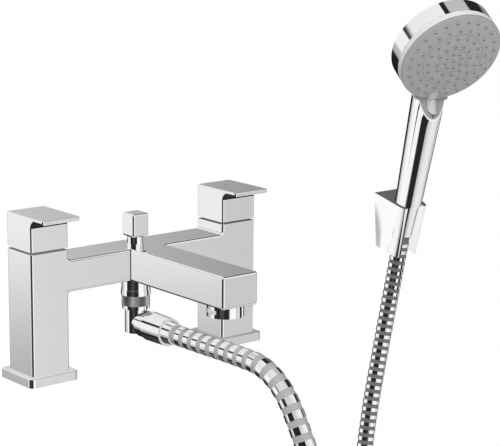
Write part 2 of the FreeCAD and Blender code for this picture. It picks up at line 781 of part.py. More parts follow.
def make_spray_disc():
    """The turning face: domed disc, border ring, nozzle mat and selector tab."""
    frame = handle_frame() * face_in_handle()
    flat_at = 5 * ring_spacing()
    ball = doc.addObject("Part::Sphere", "Ball")
    ball.Radius = flat_at ** 2 / (2 * value("face_rise"))
    ball.Placement.Base.z = value("face_rise") - ball.Radius.Value
    low = "-head_front - face_thick"
    step = "disc_gap - head_front - face_side"
    outer = "(head_radius - head_wall - disc_gap)"
    border_in = "head_radius - border_wide"
    disc = fuse(common(rod(border_in, step, "face_rise + 1"), ball), rod(outer, low, step))
    holes = [rod("nozzle_radius + snug", low, "face_rise + 1", x=str(x), y=str(y))
             for x, y in nozzle_places()]
    keep("spray_face", cut(disc, *holes), frame)
    keep("face_border", cut(rod("head_radius", step, "border_proud - head_front"),
                            rod(border_in, step, "border_proud - head_front")), frame)
    pins = [rod("nozzle_radius", f"{low} - mat_thick / 2", f"{rise(math.hypot(x, y))} + nozzle_proud",
                x=str(x), y=str(y)) for x, y in nozzle_places()]
    keep("nozzle_mat", fuse(rod(outer, f"{low} - mat_thick", low), *pins), frame)
    border = rod("head_radius", low, "border_proud - head_front")
    keep("selector_tab", cut(make_tab(), in_face(ball), in_face(border)), handle_frame())


def make_tab():
    """The selector's tab: arched, it starts on the face and lies just above the neck."""
    half = "tab_wide / 2"
    plate = fuse(box(f"-{half}", "-tab_long", "tab_gap", "tab_wide", f"tab_long + {half}", "tab_thick"),
                 rod(half, "tab_gap", "tab_gap + tab_thick", y="-tab_long"))
    arch = lying("tab_arch", f"-{half}", "tab_long + 2 * tab_wide", FORWARD,
                 z="tab_gap + tab_thick - tab_arch")
    tongue = common(plate, arch)
    doc.recompute()
    tongue = feature(tongue.Shape.copy(), neck_plane())
    edge = "tab_in - head_radius"
    root = fuse(common(rod(half, "-head_front", "tab_proud", y=edge),
                       box(f"-{half}", edge, "-head_front", "tab_wide", half, "head_front + tab_proud")),
                box(f"-{half}", "tab_foot - head_radius", "-head_front", "tab_wide", "tab_in - tab_foot",
                    "head_front + tab_proud"))
    return fuse(tongue, in_face(root))


# hose end at the hand shower, below the handle in the handle's frame
def make_handset_hose_end():
    frame = handle_frame()
    bottom = "-cone_nut_long"
    spigot_end = "-handset_spigot_long"
    washer_end = f"{spigot_end} - rubber_thick"
    flange_end = f"{washer_end} - rubber_thick"
    top = "-disc_gap"
    keep("handset_nut", cut(cone("cone_nut_bottom", "cone_nut_top", bottom, top),
                            rod("handset_spigot + snug", flange_end, top),
                            rod("handset_ferrule + snug", bottom, flange_end)), frame)
    keep("handset_washer", cut(rod("handset_spigot", washer_end, spigot_end),
                               rod("hose_bore", washer_end, spigot_end)), frame)
    ferrule = fuse(rod("handset_spigot", flange_end, washer_end),
                   rod("handset_ferrule", bottom, flange_end))
    keep("handset_ferrule", cut(ferrule, rod("hose_bore", bottom, washer_end)), frame)


# wall holder: a wedge with an open cradle, and the plate that holds it to the wall
def wedge_section(radius, half, back, level):
    """A closed outline, higher at the back: a round front that widens along straight sides to the wall."""
    reach = math.hypot(half, back)
    lean = math.asin(min(1.0, radius / reach)) + math.atan2(half, back)
    touch = math.pi / 2 - lean
    slope = math.tan(math.radians(value("cradle_slope")))
    side_y = -radius * math.sin(touch)
    side = Vector(radius * math.cos(touch), side_y, level + slope * side_y)
    side_other = Vector(-side.x, side_y, side.z)
    front = Vector(0, -radius, level - slope * radius)
    corner = Vector(half, back, level + slope * back)
    corner_other = Vector(-half, back, corner.z)
    edges = [Part.LineSegment(corner_other, corner).toShape(), Part.LineSegment(corner, side).toShape(),
             Part.Arc(side, front, side_other).toShape(),
             Part.LineSegment(side_other, corner_other).toShape()]
    return Part.Wire(edges)


def make_holder():
    play = "cradle_play"
    top_level = value("cradle_level")
    low_level = top_level - value("cradle_high")
    back = value("wall_y - handset_y")
    nearer = value("cradle_high") * math.tan(math.radians(value("handset_lean")))
    wedge = Part.makeLoft([wedge_section(value("cradle_bottom"), value("holder_bottom_half"), back - nearer,
                                         low_level),
                           wedge_section(value("cradle_top"), value("holder_top_half"), back, top_level)],
                          True, True)
    body = feature(wedge, cradle_frame())
    nut_low = "-cone_nut_long"
    seat = fuse(cone(f"cone_nut_bottom + {play}", f"cone_nut_top + {play}", nut_low, "-disc_gap"),
                rod(f"cone_nut_bottom + {play}", "-cradle_high - 5", nut_low),
                rod(f"handle_low + {play}", "-disc_gap", "cradle_level + 5"),
                box("-cradle_slot / 2", "-2 * cradle_top", "-cradle_high - 5", "cradle_slot",
                    "2 * cradle_top", "cradle_high + 6"),
                box("-2 * cradle_top", "-2 * cradle_top", "-cradle_high - 5", "4 * cradle_top",
                    "2 * cradle_top - cradle_front", "cradle_high + 6"))
    doc.recompute()
    seat = feature(seat.Shape.copy(), cradle_frame())
    wall = box("handset_x - 50", "wall_y", "-50", "100", "60", "250")
    pocket = box("handset_x - wall_plate_wide / 2 - snug", "wall_y - wall_plate_thick",
                 "wall_plate_low - snug", "wall_plate_wide + 2 * snug", "wall_plate_thick",
                 "wall_plate_high + 2 * snug")
    keep("holder_body", cut(body, seat, wall, pocket))
    plate = box("handset_x - wall_plate_wide / 2", "wall_y - wall_plate_thick", "wall_plate_low",
                "wall_plate_wide", "wall_plate_thick", "wall_plate_high")
    middle = "wall_plate_low + wall_plate_high / 2"
    heights = [f"{middle} {sign} screw_spacing / 2" for sign in ("-", "+")]
    holes = [lying("screw_hole", "-wall_y", "wall_plate_thick", FORWARD, x="handset_x", z=z) for z in heights]
    sinks = [place(cone("screw_hole", "screw_head", "0", "sink_deep"), "handset_x",
                   "wall_y - wall_plate_thick + sink_deep", z, FORWARD) for z in heights]
    keep("holder_wall_plate", cut(plate, *holes, *sinks))


# hose: straight runs and tangent arcs, with a rib at every pitch
def hose_points():
    start = Vector(0, -value("ferrule_end"), value("hose_axis"))
    end = handle_frame().multVec(Vector(0, 0, -value("cone_nut_long")))
    away = handle_frame().Rotation.multVec(Z_AXIS)
    lead = value("hose_lead")
    first = start + Vector(0, -lead, 0)
    last = end - away * lead
    return start, end, [first] + [Vector(*p) for p in HOSE_ROUTE] + [last]


def rounded_path(points):
    """Edges through the points, each corner an arc as large as its runs allow."""
    edges = []
    radii = []
    here = points[0]
    for before, corner, after in zip(points, points[1:], points[2:]):
        back = (before - corner).normalize()
        on = (after - corner).normalize()
        turn = math.pi - back.getAngle(on)
        reach = 0.45 * min((before - corner).Length, (after - corner).Length)
        radius = reach / math.tan(turn / 2)
        radii.append(radius)
        enter = corner + back * reach
        leave = corner + on * reach
        middle = (back + on).normalize()
        bulge = corner + middle * (radius / math.cos(turn / 2) - radius)
        edges.append(Part.LineSegment(here, enter).toShape())
        edges.append(Part.Arc(enter, bulge, leave).toShape())
        here = leave
    edges.append(Part.LineSegment(here, points[-1]).toShape())
    return edges, radii


def along(edges, distance):
    """The point and the direction at a distance along a list of edges."""
    for edge in edges:
        if distance <= edge.Length or edge is edges[-1]:
            step = edge.getParameterByLength(min(distance, edge.Length))
            return edge.valueAt(step), edge.tangentAt(step)
        distance -= edge.Length


def rib_stations(total):
    """Distances and radii of the circles: four for each rib, between plain ends."""
    valley = value("hose_valley")
    crest = value("hose_radius")
    plain = crest / 2
    stations = [(0.0, valley), (plain, valley)]
    at = plain
    while True:
        stretched = at < value("stretched_long")
        pitch = value("stretched_pitch") if stretched else value("rib_pitch")
        if at + pitch > total - plain:
            break
        for share, radius in ((0.1, valley), (0.22, crest), (0.68, crest), (0.8, valley)):
            stations.append((at + share * pitch, radius))
        at += pitch
    stations.append((total, valley))
    return stations


def ribbed_solid(circles):
    """Ruled lofts through the circles, a span of them at a time, joined end to end."""
    span = 300
    lofts = [Part.makeLoft(circles[i:i + span + 1], True, True) for i in range(0, len(circles) - 1, span)]
    return lofts[0].fuse(lofts[1:])


def make_hose():
    start, end, middle = hose_points()
    edges, radii = rounded_path([start] + middle + [end])
    total = sum(e.Length for e in edges)
    circles = []
    for distance, radius in rib_stations(total):
        point, direction = along(edges, distance)
        side = X_AXIS - direction * X_AXIS.dot(direction)
        circle = Part.makeCircle(radius)
        circle.Placement = Placement(point, Rotation(side, direction.cross(side), direction, "ZXY"))
        circles.append(Part.Wire(circle))
    outside = ribbed_solid(circles)
    bore = Part.Wire(Part.makeCircle(value("hose_bore"), start, edges[0].tangentAt(0)))
    inside = Part.Wire(edges).makePipeShell([bore], True, True)
    hose = outside.cut(inside)
    plain = math.pi * (value("hose_radius") ** 2 - value("hose_bore") ** 2) * total
    print(f"hose: {total:.1f} mm long, {(len(circles) - 3) // 4} ribs, smallest radius {min(radii):.1f} mm")
    print(f"hose: volume {hose.Volume:.0f} mm3, plain tube {plain:.0f} mm3")
    keep("hose", feature(hose))


def make_taps():
    for name, centre in (("hot", "-tap_centres / 2"), ("cold", "tap_centres / 2")):
        make_foot(name, centre)
        make_headwork(name, centre)
        make_lever(name, centre)


def write_parts():
    """Check every object, then write one STEP file for each sub-part."""
    doc.recompute()
    for thing in doc.Objects:
        if "Invalid" in thing.State or "Error" in thing.State:
            raise RuntimeError(f"{thing.Name} ({thing.Label}) failed")
    for label, thing in pieces.items():
        if thing.Shape.isNull() or not thing.Shape.isValid():
            raise RuntimeError(f"{label} has no valid shape")
        if len(thing.Shape.Solids) != 1:
            raise RuntimeError(f"{label} has {len(thing.Shape.Solids)} solids")
    os.makedirs("parts", exist_ok=True)
    for label, thing in pieces.items():
        thing.Shape.exportStep(f"parts/{label}.step")
    print(f"{len(pieces)} sub-parts")


make_mixer_body()
make_taps()
make_diverter()
make_outlet()
make_mixer_hose_end()
make_aerator()
make_handset_shell()
make_handset_inside()
make_spray_disc()
make_handset_hose_end()
make_holder()
make_hose()
write_parts()
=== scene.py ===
"""Looks of a deck mounted bath mixer with a hose, a hand shower and a wall holder."""

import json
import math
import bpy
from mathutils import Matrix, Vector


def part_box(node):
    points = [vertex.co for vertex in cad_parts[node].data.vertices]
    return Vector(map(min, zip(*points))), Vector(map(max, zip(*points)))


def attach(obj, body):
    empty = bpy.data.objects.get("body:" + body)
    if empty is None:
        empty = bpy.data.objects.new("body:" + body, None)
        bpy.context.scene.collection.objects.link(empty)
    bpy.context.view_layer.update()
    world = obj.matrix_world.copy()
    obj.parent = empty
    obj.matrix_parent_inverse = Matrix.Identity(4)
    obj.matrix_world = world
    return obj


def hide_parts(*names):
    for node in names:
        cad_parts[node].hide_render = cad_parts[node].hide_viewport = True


bl_info = {
    "name": "Bath Mixer Looks",
    "version": (1, 0, 0),
    "blender": (4, 5, 0),
    "location": "View3D > Sidebar > Bath Mixer",
    "description": "Finishes, hose, nozzles and knurled nut for a deck mounted bath mixer",
    "category": "Add Mesh",
}

import bpy
from bpy.props import FloatProperty, FloatVectorProperty, IntProperty, PointerProperty
from mathutils import Matrix, Vector

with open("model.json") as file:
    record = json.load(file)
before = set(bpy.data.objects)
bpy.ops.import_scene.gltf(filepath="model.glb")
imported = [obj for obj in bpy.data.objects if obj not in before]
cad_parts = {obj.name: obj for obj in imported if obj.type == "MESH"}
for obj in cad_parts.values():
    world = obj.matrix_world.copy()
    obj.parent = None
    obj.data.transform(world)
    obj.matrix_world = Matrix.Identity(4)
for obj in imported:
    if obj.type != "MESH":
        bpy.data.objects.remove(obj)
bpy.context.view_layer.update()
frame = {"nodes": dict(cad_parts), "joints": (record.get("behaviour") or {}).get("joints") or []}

# the hose's way in metres, from the ferrule at the mixer to the nut under the hand shower
HOSE_ROUTE = [
    (0.0, -0.0530, 0.0300),
    (0.0, -0.0820, 0.0300),
    (0.0010, -0.1120, 0.0303),
    (0.0008, -0.1720, 0.0296),
    (0.0045, -0.2050, -0.0280),
    (0.0180, -0.2270, -0.1100),
    (0.0420, -0.2240, -0.2100),
    (0.0800, -0.1920, -0.3150),
    (0.1320, -0.1340, -0.4000),
    (0.1980, -0.0600, -0.4280),
    (0.2500, 0.0040, -0.3920),
    (0.2810, 0.0430, -0.3120),
    (0.2940, 0.0530, -0.2240),
    (0.3050, 0.0560, -0.1340),
    (0.3290, 0.0603, -0.0450),
    (0.34005, 0.05739, 0.01748),
    (0.34005, 0.05119, 0.04581),
]
HOSE_POINTS_AROUND = 28
# the hose's finishes, by their place in its list of materials
BRIGHT = 0
MATT = 1

# the spray face: how far its middle stands out, its rings of nozzles, and the ring with a place for the tab
FACE_RISE = 0.0036
RINGS = 5
TAB_RING_COUNT = 24

BLACK = (0.0, 0.0, 0.0, 1.0)
WHITE = (1.0, 1.0, 1.0, 1.0)


def length_setting(name, description, default):
    return FloatProperty(name=name, description=description, default=default, unit="LENGTH")


def colour_setting(name, description, default):
    return FloatVectorProperty(name=name, description=description, default=default, subtype="COLOR")


class MixerSizes(bpy.types.PropertyGroup):
    """Sizes of the pieces that are modelled here."""
    hose_diameter: length_setting("Hose diameter", "Across the hose's ribs", 0.0155)
    hose_bore: length_setting("Hose bore", "Radius of the hose's hollow", 0.0045)
    rib_depth: length_setting("Rib depth", "How far a rib stands out", 0.0004)
    rib_pitch: length_setting("Rib pitch", "From one rib to the next", 0.0069)
    stretched_pitch: length_setting("Stretched pitch", "Rib pitch near the mixer", 0.0107)
    stretched_length: length_setting("Stretched length", "How far the wide pitch goes", 0.230)
    nozzle_radius: length_setting("Nozzle radius", "Radius of a nozzle's foot, inside the face", 0.0013)
    nozzle_rim: length_setting("Nozzle rim", "Radius of a nozzle at its widest, just above the face", 0.00165)
    nozzle_high: length_setting("Nozzle height", "How far a nozzle stands out", 0.0010)
    ring_spacing: length_setting("Ring spacing", "From one ring of nozzles to the next", 0.00812)
    knurls: IntProperty(name="Knurls", description="Ridges round the union nut", default=72)


class MixerColours(bpy.types.PropertyGroup):
    """Colours of the finishes."""
    chrome: colour_setting("Chrome", "Bright chrome", (0.96, 0.965, 0.97))
    satin: colour_setting("Satin steel", "The hose's matt bands", (0.44, 0.44, 0.44))
    steel: colour_setting("Steel", "Washers, screws and spring", (0.60, 0.60, 0.61))
    brass: colour_setting("Brass", "Tails, nuts and spindles", (0.72, 0.53, 0.25))
    rubber: colour_setting("Rubber", "Seals and washers", (0.03, 0.03, 0.032))
    ceramic: colour_setting("Ceramic", "Valve discs", (0.80, 0.79, 0.75))
    white: colour_setting("White plastic", "Inner plastic pieces", (0.78, 0.78, 0.77))
    grey: colour_setting("Grey plastic", "Spray face", (0.42, 0.42, 0.42))
    side: colour_setting("Side grey", "Side of the spray face", (0.66, 0.66, 0.66))
    neck: colour_setting("Neck grey", "Neck and tab", (0.32, 0.32, 0.32))
    nozzle: colour_setting("Nozzle grey", "Rubber nozzles", (0.02, 0.02, 0.02))
    nozzle_tip: colour_setting("Nozzle tip grey", "Tips of the nozzles", (0.10, 0.10, 0.10))
    hot: colour_setting("Hot", "Marker of the hot lever", (0.75, 0.05, 0.05))
    cold: colour_setting("Cold", "Marker of the cold lever", (0.04, 0.09, 0.50))


def sizes():
    return bpy.context.scene.mixer_sizes


def colours():
    return bpy.context.scene.mixer_colours


# shader maths
class Value:
    """An output of a shader node, on which Python's operators add Math nodes."""

    def __init__(self, board, socket):
        self.board = board
        self.socket = socket

    def maths(self, operation, *values):
        return self.board.node("ShaderNodeMath", {"operation": operation}, values)

    def __add__(self, other):
        return self.maths("ADD", self, other)

    def __sub__(self, other):
        return self.maths("SUBTRACT", self, other)

    def __rsub__(self, other):
        return self.maths("SUBTRACT", other, self)

    def __mul__(self, other):
        return self.maths("MULTIPLY", self, other)

    def __truediv__(self, other):
        return self.maths("DIVIDE", self, other)

    def __pow__(self, other):
        return self.maths("POWER", self, other)

    def __lt__(self, other):
        return self.maths("LESS_THAN", self, other)

    def __gt__(self, other):
        return self.maths("GREATER_THAN", self, other)

    def __abs__(self):
        return self.maths("ABSOLUTE", self)


class Board:
    """The node tree of a material or of the world, filled through one method."""

    def __init__(self, tree):
        self.tree = tree
        tree.nodes.clear()

    def node(self, kind, settings=None, values=(), output=0):
        """Add a node: settings first, then values or links by their sockets' order or name."""
        made = self.tree.nodes.new(kind)
        for name, setting in (settings or {}).items():
            if name == "stops":
                self.set_stops(made.color_ramp, setting)
            else:
                setattr(made, name, setting)
        pairs = values.items() if isinstance(values, dict) else enumerate(values)
        for place, value in pairs:
            if isinstance(value, Value):
                self.tree.links.new(value.socket, made.inputs[place])
            else:
                made.inputs[place].default_value = value
        return Value(self, made.outputs[output]) if made.outputs else made

    def set_stops(self, ramp, stops):
        for place, level in stops[2:]:
            ramp.elements.new(place)
        for element, (place, level) in zip(ramp.elements, stops):
            element.position = place
            element.color = (level, level, level, 1.0)

    def place(self):
        return self.node("ShaderNodeTexCoord", output="Object")

    def noise(self, scale, detail=2.0):
        return self.node("ShaderNodeTexNoise", values={"Vector": self.place(), "Scale": scale,
                                                       "Detail": detail})

    def split(self, vector):
        parts = self.node("ShaderNodeSeparateXYZ", values=[vector])
        outputs = parts.socket.node.outputs
        return [Value(self, outputs[i]) for i in range(3)]

    def rays(self):
        """Whether the ray comes from the camera, and whether from a mirroring surface."""
        outputs = self.node("ShaderNodeLightPath").socket.node.outputs
        return Value(self, outputs["Is Camera Ray"]), Value(self, outputs["Is Glossy Ray"])

    def ease(self, value, low, high, first=0.0, last=1.0):
        """A smooth step from first to last while value goes from low to high."""
        return self.node("ShaderNodeMapRange", {"interpolation_type": "SMOOTHSTEP"},
                         [value, low, high, first, last])

    def mix(self, share, first, second):
        """Between two values."""
        return self.node("ShaderNodeMix", values={0: share, 2: first, 3: second})

    def blend(self, share, first, second):
        """Between two colours."""
        return self.node("ShaderNodeMix", {"data_type": "RGBA"}, {0: share, 6: first, 7: second}, output=2)

    def bump(self, height, distance, strength=0.5):
        return self.node("ShaderNodeBump", values={"Strength": strength, "Distance": distance,
                                                   "Height": height})

    def finish(self, colour, rough, metal=0.0, normal=None):
        """Close a material with a Principled BSDF."""
        values = {"Base Color": colour, "Roughness": rough, "Metallic": metal}
        if normal:
            values["Normal"] = normal
        shader = self.node("ShaderNodeBsdfPrincipled", values=values)
        self.node("ShaderNodeOutputMaterial", values=[shader])


def new_board(name):
    material = bpy.data.materials.new(name)
    material.use_nodes = True
    return Board(material.node_tree)


def shade(colour, factor=1.0):
    return (colour[0] * factor, colour[1] * factor, colour[2] * factor, 1.0)


def chrome(name, painted_shade=None):
    """Polished chrome, a little uneven as a wiped surface is; where a mask of painted shade is given, its
    colour goes nearly black there.
    """
    board = new_board(name)
    rough = board.ease(board.noise(55.0), 0.35, 0.75, 0.02, 0.045)
    colour = shade(colours().chrome)
    if painted_shade:
        # painted shade: where the mask is set, the chrome's colour drops to 3 % of itself
        colour = board.blend(painted_shade(board), colour, shade(colours().chrome, 0.03))
    board.finish(colour, rough, 1.0)


def body_painted_shade(board):
    """Mask of painted shade on the body: the levers' shadow gap, and thin lines of painted shade in the
    corners between bridge and spout.
    """
    shadow_gap = 0.00175
    spout_half = 0.0165
    painted_line_half = 0.0006
    x, y, z = board.split(board.place())
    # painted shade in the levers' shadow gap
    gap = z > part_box("hot_lever")[0][2] - shadow_gap
    # thin lines of painted shade in the corners between bridge and spout
    corner = (abs(abs(x) - spout_half) < painted_line_half) * (abs(y + spout_half) < painted_line_half)
    return gap.maths("MAXIMUM", gap, corner)


def lever_painted_shade(board):
    """Mask of painted shade: a thin line round the hollow under the front of a lever's plate."""
    middle_y = -0.0215
    middle_z = 0.1203
    hollow = 0.0051
    painted_line_half = 0.0007
    y, z = board.split(board.place())[1:]
    aside = y - middle_y
    down = z - middle_z
    off = (aside * aside + down * down) ** 0.5
    # painted shade: a thin line along the hollow's rounded edge
    return (abs(off - hollow) < painted_line_half) * (aside > 0.0) * (down > 0.0)


def satin_steel_painted_shade():
    """The hose's matt bands, with fine marks; painted shade makes them darker on the right-hand stretch where
    the hose hangs, past x 0.10 m.
    """
    board = new_board("satin_steel_painted_shade")
    x = board.split(board.place())[0]
    grain = board.noise(900.0, 3.0)
    # painted shade: the matt bands fall to 40 % beyond x 0.25 m, standing in for the darker surroundings they
    # mirror there
    painted_shade_factor = board.ease(x, 0.10, 0.25, 1.0, 0.40)
    share = (grain * 0.3 + 0.85) * painted_shade_factor
    colour = board.blend(share, BLACK, shade(colours().satin))
    board.finish(colour, board.ease(grain, 0.3, 0.7, 0.45, 0.60), 0.25)


def knurled_chrome():
    """Chrome between the fine ridges of the knurl, which scatter what it mirrors."""
    board = new_board("knurled_chrome")
    ridge = board.noise(1200.0)
    colour = board.blend(ridge, (0.42, 0.42, 0.42, 1.0), (0.60, 0.60, 0.60, 1.0))
    board.finish(colour, board.ease(ridge, 0.3, 0.7, 0.28, 0.38), 1.0)


def turned_metal(name, colour, rough):
    """Machined metal with fine rings along its height."""
    board = new_board(name)
    z = board.split(board.place())[2]
    rings = board.node("ShaderNodeTexNoise", {"noise_dimensions": "1D"}, {"W": z, "Scale": 2600.0})
    tint = board.blend(board.noise(90.0), shade(colour, 0.85), shade(colour, 1.08))
    board.finish(tint, board.ease(rings, 0.3, 0.7, rough * 0.8, rough * 1.3), 1.0,
                 board.bump(rings, 0.00004, 0.4))


def moulded(name, colour, rough, grain_depth):
    """Moulded plastic or rubber with a fine grain."""
    board = new_board(name)
    patch = board.noise(30.0)
    tint = board.blend(patch, shade(colour, 0.95), shade(colour, 1.04))
    board.finish(tint, board.ease(patch, 0.3, 0.7, rough * 0.9, rough * 1.12), 0.0,
                 board.bump(board.noise(1400.0), grain_depth))


def face_centre():
    """The spray face's centre and the way it faces, from its joint."""
    joint = next(j for j in frame["joints"] if j["name"] == "spray_selector_turn")
    return Vector(joint["pos_m"]), Vector(joint["axis"]).normalized()


def face_place(board):
    """Distances from the spray face's centre: across, up the face and out of it."""
    axes = face_frame().to_3x3().transposed()
    offset = board.node("ShaderNodeVectorMath", {"operation": "SUBTRACT"},
                        [board.place(), tuple(face_centre()[0])])
    return [board.node("ShaderNodeVectorMath", {"operation": "DOT_PRODUCT"}, [offset, tuple(axis)],
                       output="Value") for axis in axes]


def side_grey():
    """The turning face's rim: grey as the face on top, lighter on its side."""
    side_begins = -0.00195
    board = new_board("side_grey")
    out = face_place(board)[2]
    colour = board.blend(out < side_begins, shade(colours().grey), shade(colours().side))
    board.finish(colour, 0.36, 0.0, board.bump(board.noise(1500.0), 0.00001))


def neck_grey():
    """Grey plastic of the neck, with a small near-black triangle near its lower end."""
    triangle_tip = -0.0600
    triangle_long = 0.0018
    board = new_board("neck_grey")
    across, up = face_place(board)[:2]
    along = up - triangle_tip
    small_triangle = (abs(across) < along * 0.4 + 0.0003) * (along > 0.0) * (along < triangle_long)
    colour = board.blend(small_triangle, shade(colours().neck), shade(colours().neck, 0.1))
    board.finish(colour, 0.42, 0.0, board.bump(board.noise(1400.0), 0.00002))


def tab_grey_painted_light():
    """Grey plastic of the selector's tab, with painted light: lighter on its left side and a painted highlight
    along its ridge.
    """
    painted_highlight_at = 0.001
    painted_highlight_half = 0.0006
    board = new_board("tab_grey_painted_light")
    across = face_place(board)[0]
    # painted light: the left side and a line along the ridge get the lighter grey, the right side the shaded
    # one
    share = board.ease(across, -0.0005, 0.0005) * (1.0 - (abs(across - painted_highlight_at) < painted_highlight_half))
    colour = board.blend(share, shade(colours().neck, 1.75), shade(colours().neck, 1.05))
    board.finish(colour, 0.40, 0.0, board.bump(board.noise(1400.0), 0.00002))


def spray_face_grey_painted_shade():
    """Grey plastic with two shallow grooves round the face's centre, with painted shade making the grooves
    darker.
    """
    groove_half = 0.00035
    board = new_board("spray_face_grey_painted_shade")
    across, up = face_place(board)[:2]
    radius = (across * across + up * up) ** 0.5
    spacing = sizes().ring_spacing
    groove = (abs(radius - 1.6 * spacing) < groove_half) + (abs(radius - 3.5 * spacing) < groove_half)
    # painted shade: the grooves' grey is darkened to 72 %
    colour = board.blend(groove, shade(colours().grey), shade(colours().grey, 0.72))
    board.finish(colour, 0.42, 0.0, board.bump(board.noise(1500.0) - groove * 4.0, 0.00006))


FINISHES = {
    "body_chrome_painted_shade": ("mixer_body",),
    "lever_chrome_painted_shade": ("hot_lever", "cold_lever"),
    "bright_chrome": ("hot_base_plate", "cold_base_plate", "diverter_knob", "diverter_bush",
                      "outlet_nipple", "outlet_elbow", "mixer_hose_nut", "mixer_hose_ferrule",
                      "aerator_housing", "holder_body", "handset_nut", "handset_shell"),
    "turned_brass": ("hot_tail", "cold_tail", "hot_backnut", "cold_backnut", "hot_headwork_body",
                     "cold_headwork_body", "hot_spindle", "cold_spindle", "diverter_stem",
                     "handset_ferrule"),
    "plain_steel": ("hot_steel_washer", "cold_steel_washer", "hot_grub_screw", "cold_grub_screw",
                    "diverter_spring", "holder_wall_plate"),
    "black_rubber": ("hot_base_seal", "cold_base_seal", "hot_rubber_washer", "cold_rubber_washer",
                     "hot_headwork_seal", "cold_headwork_seal", "diverter_upper_seal",
                     "diverter_lower_seal", "union_washer", "mixer_hose_washer", "aerator_washer",
                     "handset_washer"),
    "ceramic": ("hot_fixed_disc", "cold_fixed_disc", "hot_turning_disc", "cold_turning_disc"),
    "white_plastic": ("check_valve", "aerator_insert", "water_tube", "chamber_cover"),
    "spray_face_grey_painted_shade": ("spray_face",),
    "neck_grey": ("neck_insert",),
    "tab_grey_painted_light": ("selector_tab",),
    "side_grey": ("face_border",),
    "hot_red": ("hot_marker",),
    "cold_blue": ("cold_marker",),
}

# the only CAD nodes that show in the chrome of the others, so that flat faces stay clear
MIRRORED = ("diverter_bush", "diverter_knob")


class MIXER_OT_finishes(bpy.types.Operator):
    """Make the finishes and give them to the nodes of the frame"""
    bl_idname = "mixer.finishes"
    bl_label = "Finishes"

    def execute(self, context):
        tint = colours()
        chrome("bright_chrome")
        chrome("body_chrome_painted_shade", body_painted_shade)
        chrome("lever_chrome_painted_shade", lever_painted_shade)
        knurled_chrome()
        satin_steel_painted_shade()
        turned_metal("turned_brass", tint.brass, 0.28)
        turned_metal("plain_steel", tint.steel, 0.30)
        moulded("black_rubber", tint.rubber, 0.62, 0.00004)
        moulded("ceramic", tint.ceramic, 0.22, 0.00001)
        moulded("white_plastic", tint.white, 0.40, 0.00002)
        moulded("nozzle_rubber", tint.nozzle, 0.55, 0.00002)
        moulded("nozzle_tips", tint.nozzle_tip, 0.50, 0.00002)
        moulded("hot_red", tint.hot, 0.28, 0.00001)
        moulded("cold_blue", tint.cold, 0.28, 0.00001)
        spray_face_grey_painted_shade()
        side_grey()
        neck_grey()
        tab_grey_painted_light()
        for name, nodes in FINISHES.items():
            for node in nodes:
                give(frame["nodes"][node], name)
                frame["nodes"][node].visible_glossy = node in MIRRORED
        return {"FINISHED"}


def give(thing, *names):
    """Replace the object's materials by the named ones."""
    if thing.data.materials:
        thing.data.materials.clear()
    for name in names:
        thing.data.materials.append(bpy.data.materials[name])


def nothing_selected():
    if bpy.context.object and bpy.context.object.mode != "OBJECT":
        bpy.ops.object.mode_set(mode="OBJECT")
    bpy.ops.object.select_all(action="DESELECT")


def only(thing):
    """Select one object and make it active."""
    nothing_selected()
    thing.select_set(True)
    bpy.context.view_layer.objects.active = thing


def pick(thing, wanted, kind="FACE"):
    """In edit mode, select the faces or vertices of thing that the test called wanted picks."""
    only(thing)
    bpy.ops.object.mode_set(mode="EDIT")
    bpy.ops.mesh.select_mode(type=kind)
    bpy.ops.mesh.select_all(action="DESELECT")
    bpy.ops.object.mode_set(mode="OBJECT")
    for item in (thing.data.polygons if kind == "FACE" else thing.data.vertices):
        item.select = bool(wanted(item))
    bpy.ops.object.mode_set(mode="EDIT")


def settle(thing):
    """Put the object's place into its mesh."""
    only(thing)
    bpy.ops.object.transform_apply(location=True, rotation=True, scale=True)


# hose
def hose_line():
    """The hose's middle line, read from a smooth curve through its route."""
    curve = bpy.data.curves.new("hose_route", "CURVE")
    curve.dimensions = "3D"
    curve.resolution_u = 40
    spline = curve.splines.new("NURBS")
    spline.points.add(len(HOSE_ROUTE) - 1)
    for point, place in zip(spline.points, HOSE_ROUTE):
        point.co = (*place, 1.0)
    spline.order_u = 3
    spline.use_endpoint_u = True
    carrier = bpy.data.objects.new("hose_route", curve)
    mesh = bpy.data.meshes.new_from_object(carrier)
    line = [v.co.copy() for v in mesh.vertices]
    bpy.data.objects.remove(carrier)
    bpy.data.meshes.remove(mesh)
    return line


def hose_bands(total):
    """Distance, radius and finish of each ring of the hose: a rib is bright, the rest matt."""
    size = sizes()
    crest = size.hose_diameter / 2
    valley = crest - size.rib_depth
    plain = crest / 2
    rings = [(0.0, valley, MATT), (plain, valley, MATT)]
    at = plain
    while True:
        stretched = at < size.stretched_length
        pitch = size.stretched_pitch if stretched else size.rib_pitch
        if at + pitch > total - plain:
            break
        first, last = (0.20, 0.74) if stretched else (0.26, 0.74)
        step = size.rib_depth / pitch
        rings.append((at + (first - step) * pitch, valley, MATT))
        rings.append((at + first * pitch, crest, BRIGHT))
        rings.append((at + last * pitch, crest, MATT))
        rings.append((at + (last + step) * pitch, valley, MATT))
        at += pitch
    rings.append((total, valley, MATT))
    return rings


def hose_stations(line, bands):
    """Place, way, sideways direction, radius and finish of each ring along the line."""
    lengths = [0.0]
    for a, b in zip(line, line[1:]):
        lengths.append(lengths[-1] + (b - a).length)
    side = Vector((1.0, 0.0, 0.0))
    stations = []
    index = 0
    for distance, radius, band in bands:
        distance = min(distance, lengths[-1] - 1e-9)
        while lengths[index + 1] < distance:
            index += 1
        share = (distance - lengths[index]) / (lengths[index + 1] - lengths[index])
        before = line[max(index - 1, 0)]
        after = line[min(index + 2, len(line) - 1)]
        way = ((line[index + 1] - line[index]) * 2 + (after - before)).normalized()
        side = (side - way * side.dot(way)).normalized()
        stations.append((line[index].lerp(line[index + 1], share), way, side.copy(), radius, band))
    return stations


